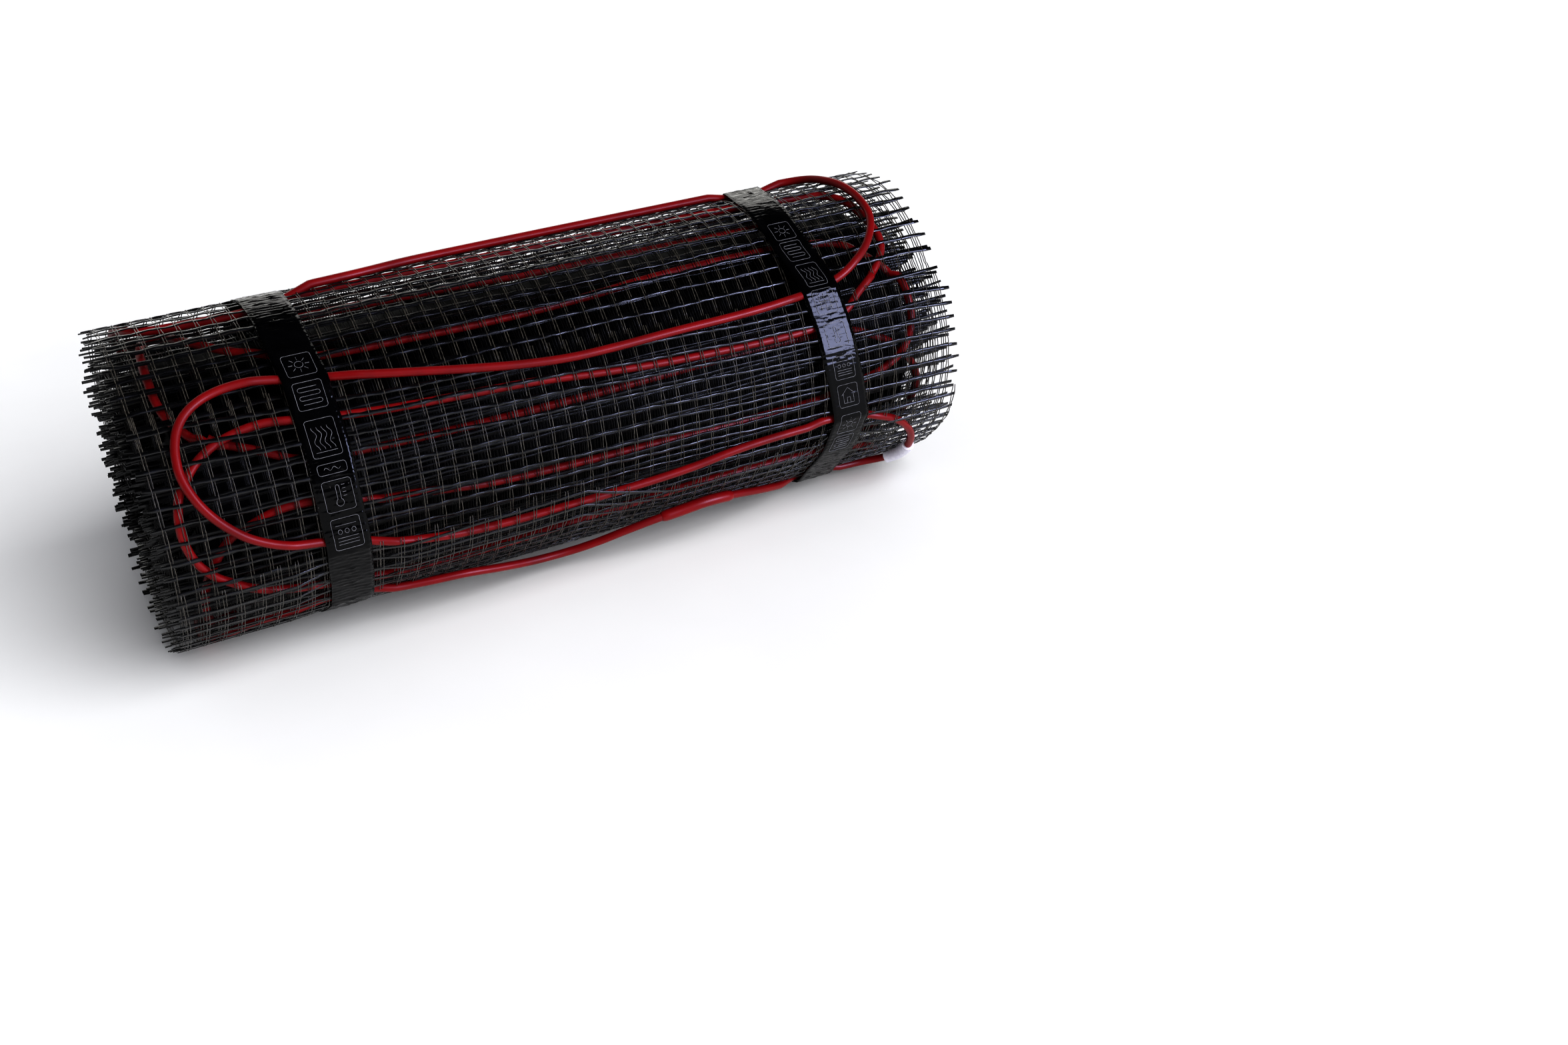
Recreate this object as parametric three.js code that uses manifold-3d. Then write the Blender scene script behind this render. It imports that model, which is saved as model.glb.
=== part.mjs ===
// Underfloor heating mat: a fibreglass mesh mat, 0.5 m wide and about 4 m long, that carries a red heating
// cable in a serpentine. It is rolled up around an open bore and held by two wraps of black tape.
// Millimetres, +Z up. The roll lies along X, and the origin is under its middle, on the floor.
// A place on the roll is a station, measured from the left tips of the mesh, and an angle, measured from the
// top of the roll towards its front (-Y) side.
import * as THREE from 'three';
import { mergeVertices } from 'three/addons/utils/BufferGeometryUtils.js';
import Module from 'manifold-3d';

// The mat, rolled up.
const matWidth = 500; // tip to tip of the strands that cross the mat
const rollDiameter = 186;
const boreDiameter = 48;
const turnPitch = 6.2; // one layer of mesh with its cable
const turnGapWidth = 2.6; // what is open between two turns, seen on the ends
const turnGapDepth = 4;
const rollFacets = 40;

// The heating cable of the outermost turn.
const cableDiameter = 5;
const cableSides = 8;
const cableStep = 11;
const seatGap = 0.35; // between a piece and the one that carries it
const leftReach = 21; // from the left tips to the middle of the cable in a left loop
const rightReach = 32;
const lowRightReach = 23;
const loopDepth = 48; // how far a loop takes to turn the cable round, along the roll
const loopPoints = 7;
const sagLift = 2.6; // how far the fourth run sags off the mesh
const loopLift = 2.4; // how far the loop before it stands off the mesh

// The two wraps of tape.
const tapeWidth = 25;
const tapeThickness = 0.4;
const leftTapeStation = 97; // middle of the wrap
const rightTapeFromEnd = 82; // middle of the wrap to the right tips

// The sleeve over the splice in the cable, and the blank label wound round the cable.
const sleeveLength = 52;
const sleeveWall = 0.8;
const sleeveFromTape = 96; // middle of the sleeve to the middle of the right tape
const labelLength = 24;
const labelWall = 0.5;
const labelFromEnd = 28; // middle of the label to the right tips
const labelAngle = 136;
const sleeveSlack = 0.75; // round the cable, so that straight facets clear its bend

const rollRadius = rollDiameter / 2;
const boreRadius = boreDiameter / 2;
const cableRadius = cableDiameter / 2;
const cableSeat = rollRadius + seatGap + cableRadius;
const rightTapeStation = matWidth - rightTapeFromEnd;
const sleeveStation = rightTapeStation - sleeveFromTape;
const labelStation = matWidth - labelFromEnd;
const facetAngle = (2 * Math.PI) / rollFacets;

const fibreglass = new THREE.MeshStandardMaterial({ color: 0x17171a, roughness: 0.55, metalness: 0 });
const redSheath = new THREE.MeshStandardMaterial({ color: 0xa30f18, roughness: 0.4, metalness: 0 });
const blackTape = new THREE.MeshStandardMaterial({ color: 0x0d0d0e, roughness: 0.25, metalness: 0 });
const whitePaper = new THREE.MeshStandardMaterial({ color: 0xe6e4ea, roughness: 0.6, metalness: 0 });

const wasm = await Module();
wasm.setup();

function solidOf(geometry) {
  const bare = new THREE.BufferGeometry();
  bare.setAttribute('position', geometry.getAttribute('position'));
  bare.setIndex(geometry.getIndex());
  const merged = mergeVertices(bare);
  const vertProperties = merged.getAttribute('position').array;
  return new wasm.Manifold(new wasm.Mesh({ numProp: 3, vertProperties, triVerts: merged.getIndex().array }));
}

function geometryOf(solid) {
  const { vertProperties, triVerts } = solid.getMesh();
  const geometry = new THREE.BufferGeometry();
  geometry.setAttribute('position', new THREE.BufferAttribute(vertProperties, 3));
  geometry.setIndex(new THREE.BufferAttribute(triVerts, 1));
  geometry.computeVertexNormals();
  return geometry;
}

// A point in the roll's own frame, in which X runs along its axis from the left tips.
function onRoll(station, angle, radius) {
  return new THREE.Vector3(station, -radius * Math.sin(angle), radius * Math.cos(angle));
}

function degrees(value) {
  return THREE.MathUtils.degToRad(value);
}

function named(name, geometry, material) {
  const mesh = new THREE.Mesh(geometry, material);
  mesh.name = name;
  return mesh;
}

// The rolled mat is turned: its ends step in between one turn and the next.
function rolledMat() {
  const turns = Math.round((rollRadius - boreRadius) / turnPitch);
  const pitch = (rollRadius - boreRadius) / turns;
  const leftEnd = [];
  for (let turn = 0; turn < turns; turn += 1) {
    const outer = rollRadius - turn * pitch;
    leftEnd.push([outer, 0]);
    if (turn < turns - 1) {
      leftEnd.push([outer - pitch + turnGapWidth, 0], [outer - pitch + turnGapWidth / 2, turnGapDepth]);
    }
  }
  leftEnd.push([boreRadius, 0]);
  const rightEnd = leftEnd.map(([radius, depth]) => [radius, matWidth - depth]).reverse();
  const profile = [...leftEnd, ...rightEnd, leftEnd[0]].map(([radius, along]) => new THREE.Vector2(radius, along));
  const solid = new THREE.LatheGeometry(profile.reverse(), rollFacets, facetAngle / 2);
  solid.rotateZ(-Math.PI / 2);
  return solid;
}

// Where the cable runs along the roll: angles at the left tape, in the middle and at the right tape.
const cableRuns = [
  [-11, -19, -22],
  [36, 51, 47],
  [96, 106, 101],
  [129, 143, 150],
  [203, 208, 205],
  [266, 270, 268],
];
const sleeveRun = 3;

function runPoints(index, leftward) {
  const [left, middle, right] = cableRuns[index].map(degrees);
  const lift = index === sleeveRun ? sagLift : 0;
  const middleStation = (leftTapeStation + rightTapeStation) / 2;
  const quarter = (rightTapeStation - leftTapeStation) / 4;
  const points = [
    [leftTapeStation, left, 0],
    [middleStation - quarter, (left + 3 * middle) / 4, lift],
    [middleStation, middle, lift],
    [middleStation + quarter, (right + 3 * middle) / 4, lift],
    [rightTapeStation, right, 0],
  ];
  return leftward ? points.reverse() : points;
}

// Half an ellipse that turns the cable round from one run to the next, near one end of the mat.
function loopTurn(fromAngle, toAngle, reach, atRight, lift) {
  const tip = atRight ? matWidth - reach : reach;
  const start = atRight ? tip - loopDepth : tip + loopDepth;
  const points = [];
  for (let i = 0; i < loopPoints; i += 1) {
    const turned = (Math.PI * i) / (loopPoints - 1);
    const along = start + (tip - start) * Math.sin(turned);
    const across = (fromAngle + toAngle) / 2 + ((fromAngle - toAngle) / 2) * Math.cos(turned);
    points.push([along, across, lift * Math.sin(turned)]);
  }
  return points;
}

// The cable's middle line is drawn on the flat mat, as a spline, and then wrapped round the roll.
// Where it would pass under the roll, the weight of the roll presses it into the mesh, level with the mesh.
class WrappedLine extends THREE.Curve {
  constructor(stations) {
    super();
    const flat = stations.map(([station, angle, lift]) => new THREE.Vector3(station, angle * cableSeat, lift));
    this.flat = new THREE.CatmullRomCurve3(flat, false, 'centripetal');
    this.arcLengthDivisions = 1200;
  }
  getPoint(t, target = new THREE.Vector3()) {
    const place = this.flat.getPoint(t);
    target.copy(onRoll(place.x, place.y / cableSeat, cableSeat + place.z));
    target.z = Math.max(target.z, cableRadius - rollRadius);
    return target;
  }
}

function cableLine() {
  const stations = [];
  const last = cableRuns.length - 1;
  for (let index = 0; index <= last; index += 1) {
    const leftward = index % 2 === 1;
    const run = runPoints(index, leftward);
    stations.push(...run);
    if (index === last) {
      break;
    }
    const atRight = !leftward;
    const low = index + 1 === sleeveRun;
    const reach = atRight ? (low ? lowRightReach : rightReach) : leftReach;
    const nextRun = runPoints(index + 1, !leftward);
    stations.push(...loopTurn(run[run.length - 1][1], nextRun[0][1], reach, atRight, low ? loopLift : 0));
  }
  return new WrappedLine(stations);
}

// A stretch of the cable's line, between two shares of its length.
class Stretch extends THREE.Curve {
  constructor(line, from, to) {
    super();
    this.line = line;
    this.from = from;
    this.to = to;
  }
  getPoint(t) {
    return this.line.getPointAt(this.from + (this.to - this.from) * t);
  }
}

function disc(radius, sides) {
  const shape = new THREE.Shape();
  for (let i = 0; i < sides; i += 1) {
    const turned = (2 * Math.PI * i) / sides;
    const place = [radius * Math.cos(turned), radius * Math.sin(turned)];
    if (i === 0) {
      shape.moveTo(...place);
    } else {
      shape.lineTo(...place);
    }
  }
  shape.closePath();
  return shape;
}

function heatingCable(line) {
  const steps = Math.round(line.getLength() / cableStep);
  return new THREE.ExtrudeGeometry(disc(cableRadius, cableSides), { steps, extrudePath: line });
}

// The hollow that the cable presses into the mesh under the roll.
function pressedHollow(line) {
  const samples = 2000;
  const pressed = [];
  for (let i = 0; i <= samples; i += 1) {
    const place = line.getPointAt(i / samples);
    if (Math.hypot(place.y, place.z) < cableSeat - seatGap / 2) {
      pressed.push(i / samples);
    }
  }
  const margin = cableStep / line.getLength();
  const extrudePath = new Stretch(line, pressed[0] - margin, pressed[pressed.length - 1] + margin);
  const steps = Math.round(extrudePath.getLength() / cableStep);
  return new THREE.ExtrudeGeometry(disc(cableRadius + sleeveSlack, cableSides), { steps, extrudePath });
}

// The share of the line's length at which it passes nearest to a place on the roll.
function shareNear(line, station, angle) {
  const samples = 2000;
  const place = onRoll(station, angle, cableSeat);
  let best = 0;
  let nearest = Infinity;
  for (let i = 0; i <= samples; i += 1) {
    const offset = line.getPointAt(i / samples).distanceTo(place);
    if (offset < nearest) {
      nearest = offset;
      best = i / samples;
    }
  }
  return best;
}

// A tube that fits over the cable, for some way on both sides of a place on the roll.
function sleeve(line, station, angle, length, wall) {
  const middle = shareNear(line, station, degrees(angle));
  const half = length / 2 / line.getLength();
  const shape = disc(cableRadius + sleeveSlack + wall, cableSides);
  shape.holes.push(disc(cableRadius + sleeveSlack, cableSides));
  const extrudePath = new Stretch(line, middle - half, middle + half);
  return new THREE.ExtrudeGeometry(shape, { steps: Math.round(length / cableStep) + 1, extrudePath });
}

// The convex outline round a set of discs, as a taut tape takes it: Andrew's monotone chain.
function tautOutline(points) {
  const sorted = [...points].sort((a, b) => a.x - b.x || a.y - b.y);
  const half = (list) => {
    const chain = [];
    for (const point of list) {
      while (chain.length > 1) {
        const [a, b] = chain.slice(-2);
        if ((b.x - a.x) * (point.y - a.y) - (b.y - a.y) * (point.x - a.x) > 0) {
          break;
        }
        chain.pop();
      }
      chain.push(point);
    }
    chain.pop();
    return chain;
  };
  return [...half(sorted), ...half(sorted.reverse())];
}

// The tape is pulled tight over the roll and over each cable that passes under it.
function tapeWrap(line, station, thickness) {
  const points = [];
  const meshRadius = rollRadius + seatGap + thickness;
  for (let i = 0; i < rollFacets; i += 1) {
    const angle = facetAngle * (i + 0.5);
    points.push(new THREE.Vector2(-meshRadius * Math.sin(angle), meshRadius * Math.cos(angle)));
  }
  const samples = Math.round(line.getLength() / 2);
  const cover = cableRadius + seatGap + thickness;
  for (let i = 0; i <= samples; i += 1) {
    const place = line.getPointAt(i / samples);
    if (Math.abs(place.x - station) > tapeWidth / 2 + cableRadius) {
      continue;
    }
    for (let side = 0; side < 12; side += 1) {
      const turned = (Math.PI * side) / 6;
      points.push(new THREE.Vector2(place.y + cover * Math.cos(turned), place.z + cover * Math.sin(turned)));
    }
  }
  return tautOutline(points);
}

function tape(line, station) {
  const shape = new THREE.Shape(tapeWrap(line, station, tapeThickness));
  shape.holes.push(new THREE.Path(tapeWrap(line, station, 0)));
  const solid = new THREE.ExtrudeGeometry(shape, { depth: tapeWidth, bevelEnabled: false });
  // The outline lies in Y and Z, and the tape's width runs along X.
  const turned = new THREE.Matrix4().makeBasis(
    new THREE.Vector3(0, 1, 0),
    new THREE.Vector3(0, 0, 1),
    new THREE.Vector3(1, 0, 0),
  );
  solid.applyMatrix4(turned);
  solid.translate(station - tapeWidth / 2, 0, 0);
  return solid;
}

const line = cableLine();
const heatingMat = new THREE.Group();
const pressedMat = solidOf(rolledMat()).subtract(solidOf(pressedHollow(line)));
heatingMat.add(named('mat_roll', geometryOf(pressedMat), fibreglass));
heatingMat.add(named('heating_cable', heatingCable(line), redSheath));
heatingMat.add(
  named('splice_sleeve', sleeve(line, sleeveStation, cableRuns[sleeveRun][1], sleeveLength, sleeveWall), redSheath),
);
heatingMat.add(named('cable_label', sleeve(line, labelStation, labelAngle, labelLength, labelWall), whitePaper));
heatingMat.add(named('tape_left', tape(line, leftTapeStation), blackTape));
heatingMat.add(named('tape_right', tape(line, rightTapeStation), blackTape));

// The origin goes to the middle of the floor area that the roll stands over.
const reach = new THREE.Box3().setFromObject(heatingMat, true);
const middle = reach.getCenter(new THREE.Vector3());
heatingMat.position.set(-middle.x, -middle.y, -reach.min.z);

export default heatingMat;
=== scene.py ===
# %% [markdown]
# A rolled underfloor heating mat. The real thing is an open black fibreglass mesh, half a metre wide, with a red
# heating cable tied to it in a serpentine, rolled up and wrapped twice in printed black tape. The CAD model gives
# the sizes: a roll with a bore, the cable of the outermost turn, the two tapes, a splice sleeve and a blank label.
# Here the plain roll is replaced by the mesh itself, strand by strand, and the other pieces get their fine shapes.

# %% Load the frame
import math

import bpy
import numpy as np
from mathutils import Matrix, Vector


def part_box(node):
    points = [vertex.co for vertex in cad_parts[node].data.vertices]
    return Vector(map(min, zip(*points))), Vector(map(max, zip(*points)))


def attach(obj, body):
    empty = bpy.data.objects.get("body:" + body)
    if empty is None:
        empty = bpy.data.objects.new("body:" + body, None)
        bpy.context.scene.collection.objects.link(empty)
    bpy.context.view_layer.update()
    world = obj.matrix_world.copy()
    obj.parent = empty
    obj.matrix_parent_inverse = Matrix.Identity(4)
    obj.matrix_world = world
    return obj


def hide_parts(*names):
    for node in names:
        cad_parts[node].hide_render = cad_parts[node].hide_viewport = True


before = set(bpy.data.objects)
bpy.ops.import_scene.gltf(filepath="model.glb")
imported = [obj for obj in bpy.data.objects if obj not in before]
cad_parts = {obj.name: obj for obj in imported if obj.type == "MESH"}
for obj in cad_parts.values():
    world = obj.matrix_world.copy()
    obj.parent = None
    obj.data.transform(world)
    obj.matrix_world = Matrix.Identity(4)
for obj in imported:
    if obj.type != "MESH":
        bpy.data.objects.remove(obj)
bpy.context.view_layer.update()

MM = 0.001
low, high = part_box("mat_roll")
LEFT = low[0]
MAT_WIDTH = (high[0] - low[0]) / MM
AXIS_Y = (low[1] + high[1]) / 2
AXIS_Z = (low[2] + high[2]) / 2
ROLL_RADIUS = 93.0
TURN_PITCH = 6.2
BORE_RADIUS = 24.0
print("roll:", round(MAT_WIDTH), "mm wide, axis at height", round(AXIS_Z / MM, 1), "mm")

# %% [markdown]
# The photograph was taken from a little over half a metre up, with the roll going away to the right. The camera's
# place and focal length were worked out from the roll's outlines and from the tapes, so it is set by numbers.

# %% Camera
view = bpy.data.cameras.new("camera")
view.lens = 40.06
view.sensor_width = 36
view.clip_start = 0.05
camera = bpy.data.objects.new("camera", view)
bpy.context.collection.objects.link(camera)
camera.location = (LEFT - 0.0805, AXIS_Y - 0.9153, AXIS_Z + 0.5163)
camera.rotation_euler = (math.radians(90 - 32.5), 0, math.radians(-28.91))
bpy.context.scene.camera = camera
print("camera", [round(c, 3) for c in camera.location])

# %% [markdown]
# Black gloss shows what stands round it rather than its own colour. So the light is a studio's: a pale floor, a low
# pale card behind, and one cool soft box in front and to the right. The box gives the mesh its blue-grey glints on the
# right half, and the card gives both tapes a sheen along the top. One even light from the front and the right does
# the rest.

# %% Helpers for modelling
def deselect():
    bpy.ops.object.select_all(action="DESELECT")


def only(piece):
    deselect()
    piece.select_set(True)
    bpy.context.view_layer.objects.active = piece


def apply_modifier(piece, kind, **settings):
    only(piece)
    modifier = piece.modifiers.new(kind.lower(), kind)
    for key, value in settings.items():
        setattr(modifier, key, value)
    bpy.ops.object.modifier_apply(modifier=modifier.name)


def linear(hexed):
    parts = [int(hexed[i:i + 2], 16) / 255 for i in (0, 2, 4)]
    return tuple(p / 12.92 if p <= 0.04045 else ((p + 0.055) / 1.055) ** 2.4 for p in parts) + (1.0,)


# %% Floor and lights
deselect()
bpy.ops.mesh.primitive_plane_add(size=14, location=(0, 2.5, 0))
floor = bpy.context.object
floor.name = "studio_floor"


def soft_box(name, place, target, size, power, colour):
    deselect()
    bpy.ops.object.light_add(type="AREA", location=place)
    lamp = bpy.context.object
    lamp.name = name
    lamp.data.shape = "RECTANGLE"
    lamp.data.size, lamp.data.size_y = size
    lamp.data.energy = power
    lamp.data.color = linear(colour)[:3]
    lamp.rotation_euler = (Vector(target) - Vector(place)).to_track_quat("-Z", "Y").to_euler()
    return lamp


front_box = soft_box("front_box", (0.78, -1.15, 0.46), (0.12, 0, 0.1), (0.5, 0.6), 24, "D2D8FF")
back_card = soft_box("back_card", (0.4, 2.3, 0.65), (0, 0, 0.1), (5.0, 1.3), 46, "FBFAF6")
for card in (front_box, back_card):
    card.visible_diffuse = False
# One even light. It gives no glint of its own, so black stays black.
deselect()
bpy.ops.object.light_add(type="SUN", location=(0.8, -1.3, 1.5))
even_light = bpy.context.object
even_light.rotation_euler = Vector((0.40, -0.66, 0.63)).to_track_quat("Z", "Y").to_euler()
even_light.data.energy = 3.9
even_light.data.angle = math.radians(60)
even_light.visible_glossy = False
# The gamma deepens the darks a little.
bpy.context.scene.view_settings.view_transform = "Standard"
bpy.context.scene.view_settings.gamma = 0.74
bpy.context.scene.view_settings.exposure = 0.06
world = bpy.data.worlds.new("studio")
bpy.context.scene.world = world
world.use_nodes = True
world.node_tree.nodes["Background"].inputs["Color"].default_value = linear("F2F3F7")
world.node_tree.nodes["Background"].inputs["Strength"].default_value = 0.42
world.cycles_visibility.glossy = False
print("lights set")

# %% [markdown]
# Every place on the roll is given as on the real mat: a station along the roll from its left tips, an angle from the
# top towards the front, and a radius. The mat itself is first laid out flat, its width along X and its length along
# Y, and then wound up. Its outer edge lies on the front of the roll, a little above the middle.

# %% The roll's own measure
EDGE_ANGLE = 46.5
TURNS = 11
EVEN_TURNS = 2
DIP_START = 0.9
WINDING_STEP = 0.002


def on_roll(station, angle, radius):
    turned = np.radians(angle)
    height = np.maximum(AXIS_Z + radius * np.cos(turned) * MM, 0)  # the roll rests on the floor
    return np.stack([LEFT + station * MM, AXIS_Y - radius * np.sin(turned) * MM, height], axis=-1)


def spiral_radius(turns):
    # The even turns keep their radius most of the way round, and then dip under their own edge.
    whole = np.floor(turns)
    dip = whole + np.clip((turns - whole - DIP_START) / (1 - DIP_START), 0, 1)
    return ROLL_RADIUS - TURN_PITCH * np.where(turns < EVEN_TURNS, dip, turns)


winding = np.arange(0, TURNS + 0.01, WINDING_STEP)
run_length = np.concatenate([[0], np.cumsum(spiral_radius(winding[:-1]) * WINDING_STEP * 2 * math.pi)])
print("mat length", round(run_length[-1] / 1000, 2), "m")


def turns_at(along):
    return np.interp(along, run_length, winding) + np.minimum(along, 0) / (ROLL_RADIUS * 2 * math.pi)


def layer_radius(layer, angle):
    # The radius of one turn of mesh at an angle, counted from the outermost.
    part = np.mod(np.asarray(angle, float) - EDGE_ANGLE, 360) / 360
    return spiral_radius(layer + part)


def points_of(piece):
    flat = np.empty(len(piece.data.vertices) * 3)
    piece.data.vertices.foreach_get("co", flat)
    return flat.reshape(-1, 3)


def put_points(piece, places):
    piece.data.vertices.foreach_set("co", np.asarray(places, float).ravel())
    piece.data.update()


def smooth(piece):
    only(piece)
    bpy.ops.object.shade_smooth()


def wind_up(piece):
    # The piece's flat places go on to the spiral. The outer edge was cut a little askew.
    places = points_of(piece) / MM
    askew = np.interp(places[:, 1], [0, 320], [0.05, 0]) * (places[:, 0] - MAT_WIDTH / 2)
    turns = turns_at(places[:, 1] + askew)
    put_points(piece, on_roll(places[:, 0], EDGE_ANGLE + 360 * turns, spiral_radius(turns) + places[:, 2]))


# %% [markdown]
# The mesh is a gauze weave. Flat bundles of glass fibre run across the mat, about ten millimetres apart. Thin threads
# run along it in pairs, one over and one under each bundle, so they grip it. One strand is a strip of
# grid with a thickness, and the Array modifier repeats it. Code then lets each strand wander a little, as the real
# ones do. The random numbers start from a fixed seed, so each run makes the same mat.

# %% Strands of mesh
WEFT_SPACING = 9.75
WEFT_WIDTH = 2.1
WEFT_THICKNESS = 0.5
PAIR_SPACING = 9.95
PAIR_HALF = 0.78
THREAD_WIDTH = 0.38
THREAD_THICKNESS = 0.4
TWIN_STEP = 3  # the Array modifier first lays the two threads of a pair this far apart
CROSSING = 1.5  # the station where the first pair crosses the bundles
wander = np.random.default_rng(7)


def strip(name, length, width, thickness, segments):
    deselect()
    bpy.ops.mesh.primitive_grid_add(x_subdivisions=segments, y_subdivisions=1, size=1)
    piece = bpy.context.object
    piece.name = name
    piece.data.name = name
    piece.scale = (length * MM, width * MM, 1)
    bpy.ops.object.transform_apply(location=False, rotation=False, scale=True)
    apply_modifier(piece, "SOLIDIFY", thickness=thickness * MM, offset=0)
    return piece


def repeat(piece, count, step):
    apply_modifier(piece, "ARRAY", count=count, use_relative_offset=False, use_constant_offset=True,
                   constant_offset_displace=tuple(s * MM for s in step))


def weft_strands(name, first, last, start, end, segments, frayed):
    # Bundles across the mat, between two places along it, that run from one station to another.
    count = int((last - first) / WEFT_SPACING)
    piece = strip(name, end - start, WEFT_WIDTH, WEFT_THICKNESS, segments)
    each = len(piece.data.vertices)
    repeat(piece, count, (0, WEFT_SPACING, 0))
    places = points_of(piece) / MM
    which = np.arange(len(places)) // each
    middle = first + (which + 0.5) * WEFT_SPACING
    across = places[:, 1] - which * WEFT_SPACING
    station = places[:, 0] + (start + end) / 2
    drift = wander.normal(0, 0.45, count)[which]
    phase = wander.uniform(0, 6.28, count)[which]
    sway = 0.45 * np.sin(station / 31 + phase) + 0.3 * np.sin(station / 11.3 + 2 * phase)
    pinch = 1 - 0.2 * np.cos(2 * math.pi * (station - CROSSING) / PAIR_SPACING)
    wide = wander.normal(1, 0.1, count)[which]
    for side, far in ((0, start), (1, end)):
        if frayed[side]:
            longer = np.clip(wander.normal(0, 1.2, count), -2.2, 2.6)[which]
            reach = np.clip(1 - np.abs(station - far) / 26, 0, 1)
            station = station + (longer if side else -longer) * reach
            drift = drift + wander.normal(0, 0.9, count)[which] * reach ** 2
    lift = 0.35 * np.cos(math.pi * (station - CROSSING) / PAIR_SPACING + which * math.pi)
    put_points(piece, np.stack([station, middle + across * pinch * wide + sway + drift,
                                places[:, 2] + lift], axis=-1) * MM)
    wind_up(piece)
    smooth(piece)
    return piece


def warp_pairs(name, first, last, station, pairs, step):
    # Pairs of threads along the mat. The two threads of a pair draw together between the bundles.
    length = last - first
    segments = max(2, int(length / step))
    piece = strip(name, length, THREAD_WIDTH, THREAD_THICKNESS, segments)
    each = len(piece.data.vertices)
    repeat(piece, 2, (0, TWIN_STEP, 0))
    repeat(piece, pairs, (0, PAIR_SPACING, 0))
    places = points_of(piece) / MM
    which = np.arange(len(places)) // each
    pair, twin = which // 2, which % 2
    along = places[:, 0] + length / 2 + first
    across = places[:, 1] - pair * PAIR_SPACING - twin * TWIN_STEP
    beat = math.pi * (along - WEFT_SPACING / 2) / WEFT_SPACING
    side = np.where(twin == 0, -1.0, 1.0)
    drift = wander.normal(0, 0.25, pairs)[pair] + 0.25 * np.sin(along / 47 + pair)
    spread = PAIR_HALF + 0.1 * np.cos(2 * beat)
    lift = 0.42 * side * np.cos(beat)
    put_points(piece, np.stack([station + pair * PAIR_SPACING + across + side * spread + drift, along,
                                places[:, 2] + lift], axis=-1) * MM)
    wind_up(piece)
    smooth(piece)
    return piece


# %% Outer turns, full width
turn_starts = [float(np.interp(k, winding, run_length)) for k in range(TURNS)]
FULL_TURNS = 4
PAIRS = 50
FIRST_PAIR = 6.0
wefts = []
warps = []
for layer in range(FULL_TURNS):
    first, last = turn_starts[layer], turn_starts[layer + 1]
    fine = layer == 0
    wefts.append(weft_strands(f"mesh_weft_turn_{layer + 1}", first + (2 if fine else 0), last, 0, MAT_WIDTH,
                              112 if fine else 56, (True, True)))
    warps.append(warp_pairs(f"mesh_warp_turn_{layer + 1}", first - (3 if fine else 0), last, FIRST_PAIR, PAIRS,
                            5 if fine else 10))
    print("turn", layer + 1, "triangles", sum(len(p.polygons) * 2 for p in (wefts[-1].data, warps[-1].data)))

# %% [markdown]
# The inner turns only show at the two ends, where hundreds of bundle ends stick out past the last pair. So only a
# short stretch of them is made there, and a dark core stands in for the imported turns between. The core keeps the
# open bore.

# %% Inner turns at the two ends
STUB = 30.0
STUB_PAIRS = 3
last_pair = FIRST_PAIR + (PAIRS - STUB_PAIRS) * PAIR_SPACING
core_radius = float(layer_radius(FULL_TURNS - 1, 180)) - 2
inner_run = (turn_starts[FULL_TURNS], turn_starts[-1] + 120)
for side, (start, end, station) in {"left": (0.0, STUB, FIRST_PAIR),
                                    "right": (MAT_WIDTH - STUB, MAT_WIDTH, last_pair)}.items():
    frayed = (side == "left", side == "right")
    wefts.append(weft_strands(f"mesh_weft_{side}_end", *inner_run, start, end, 6, frayed))
    warps.append(warp_pairs(f"mesh_warp_{side}_end", *inner_run, station, STUB_PAIRS, 9))

deselect()
bpy.ops.mesh.primitive_cylinder_add(vertices=96, radius=core_radius * MM,
                                    depth=(MAT_WIDTH - 2 * STUB + 12) * MM, end_fill_type="NOTHING",
                                    rotation=(0, math.pi / 2, 0), location=(LEFT + MAT_WIDTH / 2 * MM, AXIS_Y, AXIS_Z))
core = bpy.context.object
core.name = "packed_turns"
bpy.ops.object.transform_apply(location=True, rotation=True, scale=True)
apply_modifier(core, "SOLIDIFY", thickness=(core_radius - BORE_RADIUS) * MM, offset=-1)
only(core)
bpy.ops.object.shade_smooth_by_angle(angle=math.radians(40))
print("core radius", round(core_radius, 1))

# %% [markdown]
# The loose outer flap. Low on the front, the end of the mat lies over the third run of cable, and its pairs of
# threads cross over the red. It then runs down under the roll.

# %% Outer flap
FLAP_LENGTH = 118.0
FLAP_INSET = 6
FLAP_WEFT_WIDTH = 1.8
FLAP_WEFT_THICKNESS = 0.4
FLAP_RADIUS = 96.0


def flap_edge(station):
    return np.interp(station, [0, 120, 240, 300, 395, 432, 500], [98, 98, 96.5, 108.5, 110, 97.5, 97])


def lay_flap(piece):
    places = points_of(piece) / MM
    angle = flap_edge(places[:, 0]) + np.degrees(places[:, 1] / FLAP_RADIUS)
    radius = np.interp(angle, [95, 101, 110, 118, 126, 140, 155, 168, 175],
                       [98.9, 99.3, 99.0, 97.0, 95.2, 94.6, 94.3, 93.6, 93.2])
    put_points(piece, on_roll(places[:, 0], angle, radius + places[:, 2]))


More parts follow.
